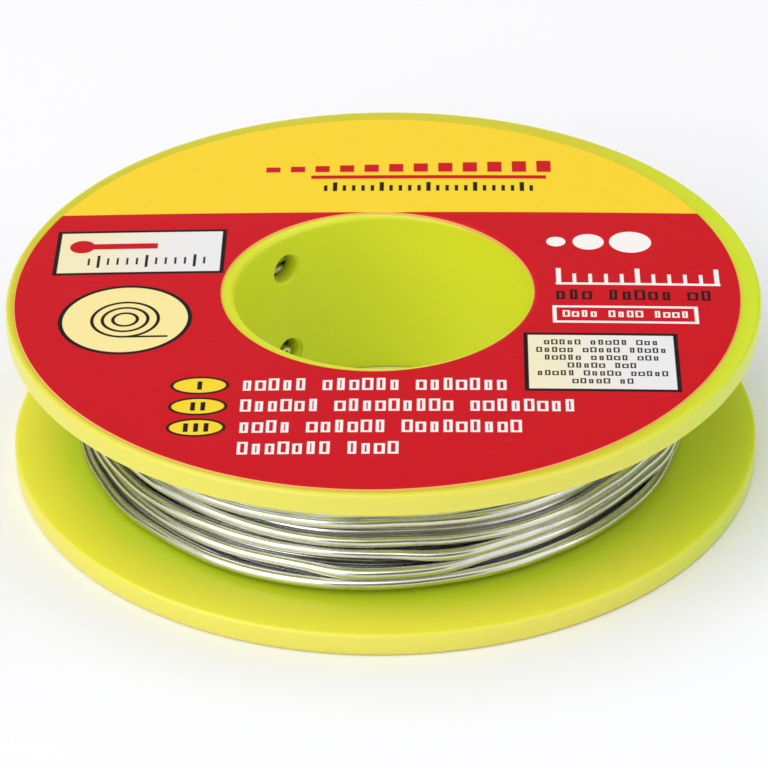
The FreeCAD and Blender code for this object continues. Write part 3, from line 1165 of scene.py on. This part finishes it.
@dataclass
class SolderWire:
    """One flux-cored wire: anchored in the hub, laid up in layers, its free end across the back.

    Lengths are in millimetres and angles in degrees. Each turn lies in the lowest place that it can
    reach near the winder's guide, on what was wound before it. The guide sweeps up and down once for
    each two layers, loosely at first and closely at last, and wavers: each of the waves has a strength
    and its shortest and longest length in turns. A slip is where a turn was pulled aside: how many
    turns before the free end, how far up, and over how many turns.
    """

    hub_radius: float
    bottom: float
    top: float
    start_turn: float
    start_height: float
    start_radius: float
    radius: float = 0.5
    core_radius: float = 0.18
    start_bend: float = 1.5
    stations: int = 144
    whole_turns: int = 114
    # Where the free end begins and ends, round the hub and in height.
    tail_from: float = 47.4
    tail_end: float = 111.0
    tail_high: float = 12.4
    tail_low: float = 8.8
    # The layers, and how far past the flanges the guide would go.
    loose_layers: int = 9
    close_layers: int = 2
    close_pitch: float = 1.15
    overshoot: float = 0.8
    # How near two strands' middles may come, as a share of the wire's diameter.
    nesting: float = 0.975
    close_nesting: float = 1.0
    # How strongly a turn keeps beside the one before it, and not at the guide.
    beside_loose: float = 0.6
    beside_close: float = 0.3
    # How far the wire may turn aside between two stations, what keeps it at its height, and how
    # strongly it is drawn to where it should be. The free end has a reach and a pull of its own.
    side_reach: float = 0.02
    side_calm: float = 30.0
    pull: float = 0.55
    tail_reach: float = 0.03
    tail_pull: float = 4.0
    # How many heights are tried at each station.
    tries: int = 13
    # What makes the guide waver.
    slips: tuple[tuple[float, float, float], ...] = ((4.38, 1.6, 0.12),)
    noise: float = 0.05
    close_noise: float = 0.45
    waves: tuple[tuple[float, float, float], ...] = ((1.0, 2.3, 17.0), (0.6, 0.35, 1.4))
    waves_each: int = 5
    seed: int = 6
    # How many turns from the outside each stretch begins, and how finely it is made.
    last_turns: int = 11
    upper_turns: int = 34
    lower_sides: int = 10
    upper_sides: int = 16
    last_sides: int = 20
    # How far from a cut end the cutters flatten the wire, by what shares, and in how many rings.
    nip_length: float = 0.7
    nip_flatter: float = 0.24
    nip_wider: float = 0.07
    nip_rings: int = 12
    # The plug of flux in a cut end, as shares of the hollow that it fills.
    plug_sides: int = 16
    plug_fit: float = 0.98
    plug_crown: tuple[float, ...] = (0.45, 0.8)
    finish: DrawnSolder = field(default_factory=DrawnSolder)
    core_finish: FluxResin = field(default_factory=FluxResin)

    @property
    def close_turns(self) -> float:
        """How many turns the close layers hold."""
        sweep_height = self.top - self.bottom - 2 * self.radius + 2 * self.overshoot
        return self.close_layers * sweep_height / self.close_pitch

    @property
    def first_angle(self) -> float:
        """Where the bend out of the hub's hole ends and the winding begins, in degrees."""
        return self.start_turn + math.degrees(self.start_bend / (self.hub_radius + self.radius))

    def guide(self, turns: np.ndarray, tail_turns: float, all_turns: float) -> np.ndarray:
        """Height at which the winder's guide feeds the wire.

        Args:
            turns: how many turns are on the hub at each station.
            tail_turns: how much of the last turn the free end takes.
            all_turns: turns in the whole winding.

        Returns:
            The guide's height at each station.
        """
        low = self.bottom + self.radius
        high = self.top - self.radius
        close = self.close_turns
        loose = all_turns - tail_turns - close
        spans = [loose / self.loose_layers] * self.loose_layers
        spans += [close / self.close_layers] * self.close_layers
        knots = np.concatenate(((0.0, 0.5), np.cumsum(spans)))
        ends = [low - self.overshoot, high + self.overshoot]
        heights = [self.start_height, ends[0]] + [ends[(n + 1) % 2] for n in range(len(spans))]
        heights[-1] = self.tail_high
        fed = np.interp(turns, knots, heights)
        rng = np.random.default_rng(self.seed)
        noise = np.where(turns < loose, self.noise, self.close_noise) / math.sqrt(self.waves_each)
        for amount, shortest, longest in self.waves:
            for _ in range(self.waves_each):
                wave = rng.uniform(shortest, longest)
                shift = rng.uniform(0, 2 * math.pi)
                fed += np.sin(turns / wave * 2 * math.pi + shift) * amount * noise
        tail_from = all_turns - tail_turns
        tail = turns > tail_from
        fed[tail] = np.interp(turns[tail], (tail_from, all_turns), (self.tail_high, self.tail_low))
        return np.clip(fed, low, high)

    def lay(self) -> np.ndarray:
        """Winds the wire on the hub, station by station.

        At each station the wire slides sideways to the lowest place near the guide, and is then drawn
        tight, so that it bridges the hollows that it is too stiff to enter.

        Returns:
            Radius and height of the wire's middle at each station.
        """
        per_turn = self.stations
        all_turns = self.whole_turns - (self.first_angle - self.tail_end) / 360
        tail_turns = (self.tail_end - self.tail_from) / 360
        total = round(all_turns * per_turn)
        count = total + Drum.DELAY
        guide = self.guide(np.arange(count) / per_turn, tail_turns, all_turns)
        guide[total:] = guide[total - 1]
        tail = round((all_turns - tail_turns) * per_turn)
        drum = Drum(per_turn, self.hub_radius + self.radius, 2 * self.radius * self.nesting)
        low, high = self.bottom + self.radius, self.top - self.radius
        heading = np.sign(np.gradient(guide))
        to_go = all_turns - tail_turns - np.arange(count) / per_turn
        slip = sum(lift * np.exp(-(((to_go - at) / width) ** 2)) for at, lift, width in self.slips)
        close_from = round((all_turns - tail_turns - self.close_turns) * per_turn)
        now = before = self.start_height
        for station in range(count):
            beside = self.beside_loose if station < close_from else self.beside_close
            if station < per_turn or station >= tail:
                beside = 0.0
            if station == close_from:
                drum.nesting = 2 * self.radius * self.close_nesting
            next_to = np.clip(drum.newest(station) + heading[station] * 2 * self.radius, low, high)
            aim = guide[station] * (1 - beside) + next_to * beside + slip[station]
            reach = self.side_reach if station < tail else self.tail_reach
            pull = self.pull if station < tail else self.tail_pull
            straight = 2 * now - before
            heights = np.clip(straight + np.linspace(-reach, reach, self.tries), low, high)
            radii = drum.rest(station, heights)
            cost = radii + pull * (heights - aim) ** 2 + self.side_calm * (heights - now) ** 2
            best = int(np.argmin(cost))
            before, now = now, heights[best]
            drum.feed(station, now, radii[best])
        return drum.laid(total)

    def winding_path(self) -> np.ndarray:
        """The wire's middle line on the hub.

        Returns:
            Its points.
        """
        laid = self.lay()
        turn = np.radians(self.first_angle + np.arange(len(laid)) * 360 / self.stations)
        return np.stack((laid[:, 0] * np.cos(turn), laid[:, 0] * np.sin(turn), laid[:, 1]), axis=1)

    def start_path(self) -> np.ndarray:
        """The wire's middle line from its first cut end, through the hub's hole and round its bend.

        Returns:
            Its points.
        """
        turn = math.radians(self.start_turn)
        out = np.array((math.cos(turn), math.sin(turn), 0.0))
        on = np.array((-math.sin(turn), math.cos(turn), 0.0))
        bend_from = self.hub_radius + self.radius - self.start_bend
        bend = np.linspace(0, math.pi / 2, 10)[:-1, None]
        arc = out * (bend_from + self.start_bend * np.sin(bend)) + on * self.start_bend * (1 - np.cos(bend))
        straight = out * np.linspace(self.start_radius, bend_from, 4)[:-1, None]
        return np.concatenate((straight, arc)) + np.array((0.0, 0.0, self.start_height))

    def core(self, name: str, path: np.ndarray, node: str) -> None:
        """Makes the plug of flux that shows in a cut end.

        Args:
            name: the piece's name.
            path: points from just inside the cut face into the wire.
            node: the CAD node that it stands for.
        """
        scales = np.array(self.plug_crown + (1.0,) * (len(path) - len(self.plug_crown)))
        rings = sweep(path, self.core_radius * self.plug_fit, self.plug_sides, scales)
        plug = closed_tubes(name, [rings], Crease.WIRE)
        settle(plug, self.core_finish.material(), Slot.FLUX, node)

    def stretch(self, name: str, path: np.ndarray, sides: int, cut: tuple[bool, bool]) -> bpy.types.Object:
        """Makes a stretch of the wire.

        Args:
            name: the piece's name.
            path: points of its middle line.
            sides: faces round it.
            cut: whether its start and its end are real cut ends, with the hollow for the flux.

        Returns:
            The object.
        """
        rings = sweep(path, self.radius, sides, np.ones(len(path)))
        for is_cut, at_start in zip(cut, (True, False), strict=True):
            if is_cut:
                rings = self.cut_face(rings, path, at_start)
        return closed_tubes(name, [rings], Crease.WIRE)

    def cut_face(self, rings: np.ndarray, path: np.ndarray, at_start: bool) -> np.ndarray:
        """Closes one end of a stretch as side cutters leave it: nipped flatter, with a hollow core.

        Args:
            rings: the stretch's rings.
            path: its middle line.
            at_start: whether this is its first end.

        Returns:
            The rings with the end's own added.
        """
        if not at_start:
            return self.cut_face(rings[::-1], path[::-1], True)[::-1]
        inward = (path[1] - path[0]) / np.linalg.norm(path[1] - path[0])
        gone = np.linalg.norm(np.diff(path[: self.nip_rings], axis=0), axis=1).cumsum()
        for number, distance in enumerate(np.concatenate(((0.0,), gone))):
            nip = max(0.0, 1 - distance / self.nip_length) ** 2
            shape = rings[number] - path[number]
            shape[:, 2] *= 1 - self.nip_flatter * nip
            shape[:, :2] *= 1 + self.nip_wider * nip
            rings[number] = path[number] + shape
        rim = rings[0] - path[0]
        hollow = self.core_radius / self.radius
        steps = ((0.16, hollow * 0.9), (0.0, hollow), (-0.03, 0.8), (0.0, 0.95))
        closed = [path[0] + inward * depth + rim * scale for depth, scale in steps]
        rings[0] = path[0] + inward * 0.05 + rim
        return np.concatenate((np.array(closed), rings))

    def refined(self, path: np.ndarray) -> np.ndarray:
        """Doubles the points of a line, and puts still closer ones where its cut end is nipped.

        Args:
            path: the line's points.

        Returns:
            The new points.
        """
        last = halved(path)
        before, middle, end = last[-3:]
        steps = np.linspace(0, 2, 13)[:, None]
        gone = np.clip(steps, 0, 1) * (middle - before) + np.clip(steps - 1, 0, 1) * (end - middle)
        return np.concatenate((last[:-3], before + gone))

    def build(self) -> None:
        """Winds the wire and builds it in three stretches, finer towards the outside."""
        path = self.winding_path()
        start = self.start_path()
        steps = np.diff(np.concatenate((start, path)), axis=0)
        length = np.linalg.norm(steps, axis=1).sum()
        outside = np.hypot(path[:, 0], path[:, 1]).max() + self.radius
        turns = len(path) / self.stations
        log.info("wire: %.0f mm long, %.1f turns, reaches %.2f mm", length, turns, outside)
        material = self.finish.material()
        last_from = len(path) - self.last_turns * self.stations
        upper_from = len(path) - self.upper_turns * self.stations
        lower = np.concatenate((start, path[: upper_from + 1 : 2]))
        piece = self.stretch("wire_lower_layers", lower, self.lower_sides, (True, False))
        settle(piece, material, Slot.SOLDER, "solder_inner_layers", "solder_start")
        upper = path[upper_from - upper_from % 2 : last_from + 1]
        piece = self.stretch("wire_upper_layers", upper, self.upper_sides, (False, False))
        settle(piece, material, Slot.SOLDER, "solder_inner_layers")
        last = self.refined(path[last_from:])
        piece = self.stretch("wire_last_turns", last, self.last_sides, (False, True))
        settle(piece, material, Slot.SOLDER, "solder_outer_turns", "solder_tail")
        self.core("flux_at_first_end", inside_end(start), "flux_core_start")
        self.core("flux_at_free_end", inside_end(last[::-1]), "flux_core_tail")


class Drum:
    """What is on the hub so far, and the last few stations while they are still being drawn tight."""

    SMOOTH = 4
    TIGHT = 9
    DELAY = SMOOTH + 3 * TIGHT
    NEAR = 44
    MOST_TURNS = 200
    SPREAD = 1.8
    STIFFNESS = 14.0

    def __init__(self, stations: int, least_radius: float, nesting: float) -> None:
        """Starts empty.

        Args:
            stations: places round the hub at which the wire is kept.
            least_radius: radius of a wire's middle that lies on the hub itself.
            nesting: how near two middles may come.
        """
        self.stations = stations
        self.least_radius = least_radius
        self.nesting = nesting
        self.radius = np.zeros((stations, self.MOST_TURNS))
        self.height = np.zeros((stations, self.MOST_TURNS))
        self.count = np.zeros(stations, int)
        self.fed: list[float] = []
        self.stages: tuple[list[float], ...] = ([], [], [], [])
        self.smooth_heights: list[float] = []
        weights = np.exp(-0.5 * (np.arange(-self.SMOOTH, self.SMOOTH + 1) / self.SPREAD) ** 2)
        self.weights = weights / weights.sum()
        self.window = np.arange(-self.TIGHT, self.TIGHT + 1)

    def rest(self, station: int, heights: np.ndarray) -> np.ndarray:
        """Smallest radius at which a wire can lie.

        Args:
            station: how many stations have gone by.
            heights: heights of its middle to try.

        Returns:
            A radius for each height.
        """
        place = station % self.stations
        end = self.count[place]
        near = slice(max(0, end - self.NEAR), end)
        if end == 0:
            return np.full(len(heights), self.least_radius)
        apart = heights[:, None] - self.height[place, near][None, :]
        room = self.nesting**2 - apart * apart
        lifted = np.where(room > 0, self.radius[place, near][None, :] + np.sqrt(np.maximum(room, 0)), 0)
        return np.maximum(lifted.max(axis=1), self.least_radius)

    def newest(self, station: int) -> float:
        """Height of the wire that was laid at this place one turn ago."""
        place = station % self.stations
        return self.height[place, max(0, self.count[place] - 1)]

    def feed(self, station: int, height: float, radius: float) -> None:
        """Takes the next station, and draws tight the stations that are now far enough back.

        Args:
            station: its number.
            height: height of the wire's middle there.
            radius: its radius there.
        """
        self.fed.append(height)
        sag = (self.window * 2 * math.pi / self.stations * radius) ** 2 / (2 * self.STIFFNESS)
        done = station - self.SMOOTH
        if done < 0:
            return
        span = np.maximum(np.arange(done - self.SMOOTH, done + self.SMOOTH + 1), 0)
        smooth = float(np.array([self.fed[n] for n in span]) @ self.weights)
        self.smooth_heights.append(smooth)
        self.stages[0].append(float(self.rest(done, np.array([smooth]))[0]))
        for stage, lift in enumerate((-sag, -sag, sag)):
            done -= self.TIGHT
            if done < 0:
                return
            from_stage = self.stages[stage]
            seen = np.array([from_stage[max(0, done + n)] for n in self.window]) + lift
            self.stages[stage + 1].append(float(seen.max() if stage < 2 else seen.min()))
        place = done % self.stations
        self.radius[place, self.count[place]] = self.stages[3][done]
        self.height[place, self.count[place]] = self.smooth_heights[done]
        self.count[place] += 1

    def laid(self, total: int) -> np.ndarray:
        """Radius and height of the first stations."""
        return np.stack((self.stages[3][:total], self.smooth_heights[:total]), axis=1)


def sweep(path: np.ndarray, radius: float, sides: int, scales: np.ndarray) -> np.ndarray:
    """Rings of points round a line that is nowhere upright.

    Args:
        path: the line's points.
        radius: the rings' radius.
        sides: points in a ring.
        scales: what each ring's radius is multiplied by.

    Returns:
        The rings.
    """
    along = np.gradient(path, axis=0)
    along /= np.linalg.norm(along, axis=1, keepdims=True)
    up = np.array((0.0, 0.0, 1.0)) - along * along[:, 2:]
    up /= np.linalg.norm(up, axis=1, keepdims=True)
    side = np.cross(along, up)
    turn = even_turns(sides)
    ring = side[:, None, :] * np.cos(turn)[None, :, None] + up[:, None, :] * np.sin(turn)[None, :, None]
    return path[:, None, :] + ring * (radius * scales)[:, None, None]


def halved(path: np.ndarray) -> np.ndarray:
    """Puts a point between each two of a smooth line.

    Args:
        path: the line's points.

    Returns:
        The new points.
    """
    padded = np.concatenate((2 * path[:1] - path[1:2], path, 2 * path[-1:] - path[-2:-1]))
    between = (9 * (padded[1:-2] + padded[2:-1]) - padded[:-3] - padded[3:]) / 16
    made = np.empty((2 * len(path) - 1, 3))
    made[::2] = path
    made[1::2] = between
    return made


def inside_end(path: np.ndarray) -> np.ndarray:
    """Points from just inside a line's first point to a millimetre in."""
    inward = (path[1] - path[0]) / np.linalg.norm(path[1] - path[0])
    return path[0] + inward * np.array((0.05, 0.06, 0.09, 0.3, 0.6, 1.0))[:, None]


@dataclass(frozen=True)
class PaleFloor:
    """Matt white paper, with painted light where the spool stands on it. Lengths are in millimetres."""

    white: Colour = (0.94, 0.94, 0.955)
    # Painted light: a bluish tint near the spool that cancels the yellow light the plastic throws on the
    # paper.
    near: Colour = (0.93, 0.93, 0.99)
    # Painted light: the lime light that the bore's walls throw on the paper inside them.
    inside: Colour = (0.84, 0.88, 0.58)
    fibre: Colour = (0.9, 0.9, 0.9)
    bore_radius: float = 12.25
    near_to: float = 30.0
    white_from: float = 75.0
    fibres: Grain = Grain(0.05, 2.0)

    def material(self) -> bpy.types.Material:
        """Makes the finish.

        Returns:
            The material.
        """
        material, graph = new_material("pale_floor")
        place = graph.place_mm()
        fibres = graph.noise(place, self.fibres)
        x, y, _ = graph.parts_of(place)
        away = (x * x + y * y).root()
        # Painted light: lime inside the bore, bluish just round the spool.
        near = graph.blend(away.eased(self.bore_radius, self.bore_radius + 1.0), self.inside, self.near)
        white = graph.blend(away.eased(self.near_to, self.white_from), near, self.white)
        tone = graph.blend(fibres * 0.01, white, self.fibre)
        graph.surface({"Base Color": tone, "Roughness": 0.9, "Specular IOR Level": 0.0})
        return material


@dataclass(frozen=True)
class DullCard:
    """Dull dark card."""

    tone: CardTone

    def material(self) -> bpy.types.Material:
        """Makes the finish.

        Returns:
            The material.
        """
        material, graph = new_material(f"{self.tone.name.lower()}_card")
        shade = (*self.tone.value, 1.0)
        graph.surface({"Base Color": shade, "Roughness": 0.95, "Specular IOR Level": 0.0})
        return material


@dataclass(frozen=True)
class SoftLamp:
    """A square diffusing panel. Lengths are in metres; level is its brightness, where 1 is white."""

    name: str
    place: tuple[float, float, float]
    side: float
    level: float

    def build(self) -> None:
        """Hangs the lamp and turns it to the spool."""
        data = bpy.data.lights.new(self.name, "AREA")
        data.shape = "SQUARE"
        data.size = self.side
        data.energy = self.level * math.pi * self.side**2
        lamp = bpy.data.objects.new(self.name, data)
        lamp.location = self.place
        lamp.rotation_euler = (-Vector(self.place)).to_track_quat("-Z", "Y").to_euler()
        bpy.context.scene.collection.objects.link(lamp)


@dataclass(frozen=True)
class DarkCard:
    """A dark card that only reflections see. Lengths are in metres and angles in degrees."""

    name: str
    bearing: float
    elevation: float
    width: float
    height: float
    distance: float = 1.0
    tone: CardTone = CardTone.OLIVE
    lines: int = 5

    def build(self, material: bpy.types.Material) -> None:
        """Stands the card up, facing the spool; bearing 0 is in front of it and 90 on its right.

        Args:
            material: the card's finish.
        """
        turn, rise = math.radians(self.bearing), math.radians(self.elevation)
        away = Vector((math.sin(turn) * math.cos(rise), -math.cos(turn) * math.cos(rise), math.sin(rise)))
        side = Vector((math.cos(turn), math.sin(turn), 0.0))
        up = side.cross(away) * -1
        across = np.linspace(-0.5, 0.5, self.lines) * self.width
        upward = np.linspace(-0.5, 0.5, self.lines) * self.height
        points = [away * self.distance + side * x + up * y for x in across for y in upward]
        faces = grid_faces(self.lines, self.lines, False, False).tolist()
        card = mesh_object(self.name, np.array(points) / MM, faces, Crease.FILM)
        card.data.materials.append(material)
        card.visible_camera = False
        card.visible_diffuse = False
        card.visible_shadow = False
        card.visible_transmission = False


@dataclass(frozen=True)
class Viewpoint:
    """The camera. Lengths are in millimetres, angles in degrees, and the picture is square."""

    distance: float = 344.148
    elevation: float = 31.8
    roll: float = -0.795
    aim_right: float = -0.048
    aim_height: float = 5.745
    focal_pixels: float = 4126.5
    picture_side: int = 768
    sensor: float = 36.0

    def build(self) -> None:
        """Places the camera as the photograph was taken."""
        down, roll = math.radians(self.elevation), math.radians(self.roll)
        ahead = Vector((0.0, math.cos(down), -math.sin(down)))
        level = Vector((1.0, 0.0, 0.0))
        upright = level.cross(ahead)
        right = level * math.cos(roll) + upright * math.sin(roll)
        up = upright * math.cos(roll) - level * math.sin(roll)
        data = bpy.data.cameras.new("photograph")
        data.sensor_width = self.sensor
        data.lens = self.focal_pixels / self.picture_side * self.sensor
        data.clip_start = 0.01
        camera = bpy.data.objects.new("photograph", data)
        eye = Vector((self.aim_right, 0.0, self.aim_height)) - ahead * self.distance
        axes = Matrix((right, up, -ahead)).transposed().to_4x4()
        camera.matrix_world = Matrix.Translation(eye * MM) @ axes
        bpy.context.scene.collection.objects.link(camera)
        bpy.context.scene.camera = camera


@dataclass
class Studio:
    """White paper, soft lamps, dark cards and the camera. Lengths are in metres."""

    floor_radius: float = 3.0
    floor_rings: tuple[float, ...] = (0.001, 0.2, 0.8, 1.0)
    floor_sides: int = 96
    floor_drop: float = 0.000004
    fill: float = 0.44
    lamps: tuple[SoftLamp, ...] = (
        SoftLamp("key_lamp", (-0.85, -0.95, 0.95), 1.7, 1.78),
        SoftLamp("right_lamp", (1.1, -0.1, 0.5), 0.9, 1.05),
        SoftLamp("top_lamp", (-0.2, 0.1, 1.4), 1.5, 1.02),
    )
    cards: tuple[DarkCard, ...] = (
        DarkCard("front_card", 6.0, 16.0, 1.05, 0.68),
        DarkCard("left_back_card", -119.0, 18.0, 1.2, 0.7),
        DarkCard("right_back_card", 148.0, 18.0, 0.9, 0.7),
        DarkCard("right_card", 100.0, 22.0, 1.0, 0.9, 0.95),
        DarkCard("back_card", 180.0, 34.0, 0.9, 0.5, 1.2, CardTone.BLACK),
    )
    viewpoint: Viewpoint = field(default_factory=Viewpoint)
    floor_finish: PaleFloor = field(default_factory=PaleFloor)

    def build_floor(self) -> None:
        """Lays the paper, a wide disc just under the spool."""
        rings, sides = len(self.floor_rings), self.floor_sides
        radii = np.array(self.floor_rings) * self.floor_radius / MM
        outline = np.stack((radii, np.full(rings, -self.floor_drop / MM)), axis=1)
        points = turned(outline, even_turns(sides))
        faces = grid_faces(sides, rings, True, False).tolist()
        faces.append([n * rings for n in range(sides)][::-1])
        floor = mesh_object("paper_floor", points, faces, Crease.FILM)
        floor.data.materials.append(self.floor_finish.material())

    def build_world(self) -> None:
        """Makes the surroundings: plain white to look at, and a softer fill for matt surfaces."""
        world = bpy.data.worlds.new("studio")
        world.use_nodes = True
        bpy.context.scene.world = world
        graph = Graph(world.node_tree)
        seen = graph.node("ShaderNodeLightPath", output="Is Camera Ray")
        outputs = seen.socket.node.outputs
        mirrored = Signal(graph, outputs["Is Glossy Ray"])
        through = Signal(graph, outputs["Is Transmission Ray"])
        strength = seen.most(mirrored.most(through)) * (1.0 - self.fill) + self.fill
        inputs = {"Color": (1.0, 1.0, 1.0, 1.0), "Strength": strength}
        light = graph.node("ShaderNodeBackground", inputs=inputs)
        graph.node("ShaderNodeOutputWorld", inputs={"Surface": light})

    def build(self) -> None:
        """Sets the whole studio up."""
        self.build_floor()
        self.build_world()
        for lamp in self.lamps:
            lamp.build()
        finishes = {tone: DullCard(tone).material() for tone in CardTone}
        for card in self.cards:
            card.build(finishes[card.tone])
        self.viewpoint.build()
        bpy.context.scene.view_settings.view_transform = "Standard"
        log.info("studio: %d lamps, %d cards, fill %.2f", len(self.lamps), len(self.cards), self.fill)


def measured_spool() -> MouldedSpool:
    """Takes the moulding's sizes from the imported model.

    Returns:
        The moulding.
    """
    body_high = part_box("spool_body")[1]
    wire_low, wire_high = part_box("solder_start")
    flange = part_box("solder_inner_layers")[0].z
    bore = next(m for m in frame["record"]["mounts"] if m["name"] == "spindle_bore")
    middle = (wire_low + wire_high) / 2
    return MouldedSpool(
        rim_radius=body_high.x / MM,
        height=body_high.z / MM,
        flange=flange / MM,
        bore_radius=bore["dims"]["r_mm"],
        hole_turn=math.atan2(middle.y, middle.x),
        hole_height=middle.z / MM,
    )


def measured_label(spool: MouldedSpool) -> FaceLabel:
    """Takes the label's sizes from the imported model.

    Args:
        spool: the moulding that it lies on.

    Returns:
        The label.
    """
    low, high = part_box("face_label")
    middle = (low + high) / 2
    return FaceLabel(
        centre=(middle.x / MM, middle.y / MM),
        outer_radius=(high.x - low.x) / 2 / MM + LABEL_SPREAD,
        base=low.z / MM,
        thickness=(high.z - low.z) / MM,
        spool=spool,
    )


def measured_wire(spool: MouldedSpool) -> SolderWire:
    """Takes the wire's sizes and places from the moulding.

    Args:
        spool: the moulding that it is wound on.

    Returns:
        The wire.
    """
    return SolderWire(
        hub_radius=spool.hub_radius,
        bottom=spool.flange,
        top=spool.height - spool.flange,
        start_turn=math.degrees(spool.hole_turn),
        start_height=spool.hole_height,
        start_radius=spool.bore_radius + START_DEPTH,
    )


def main() -> None:
    """Builds the studio and the spool."""
    logging.basicConfig(level=logging.INFO, format="%(name)s: %(message)s")
    Studio().build()
    spool = measured_spool()
    spool.build()
    measured_label(spool).build()
    measured_wire(spool).build()


if __name__ == "__main__":
    main()
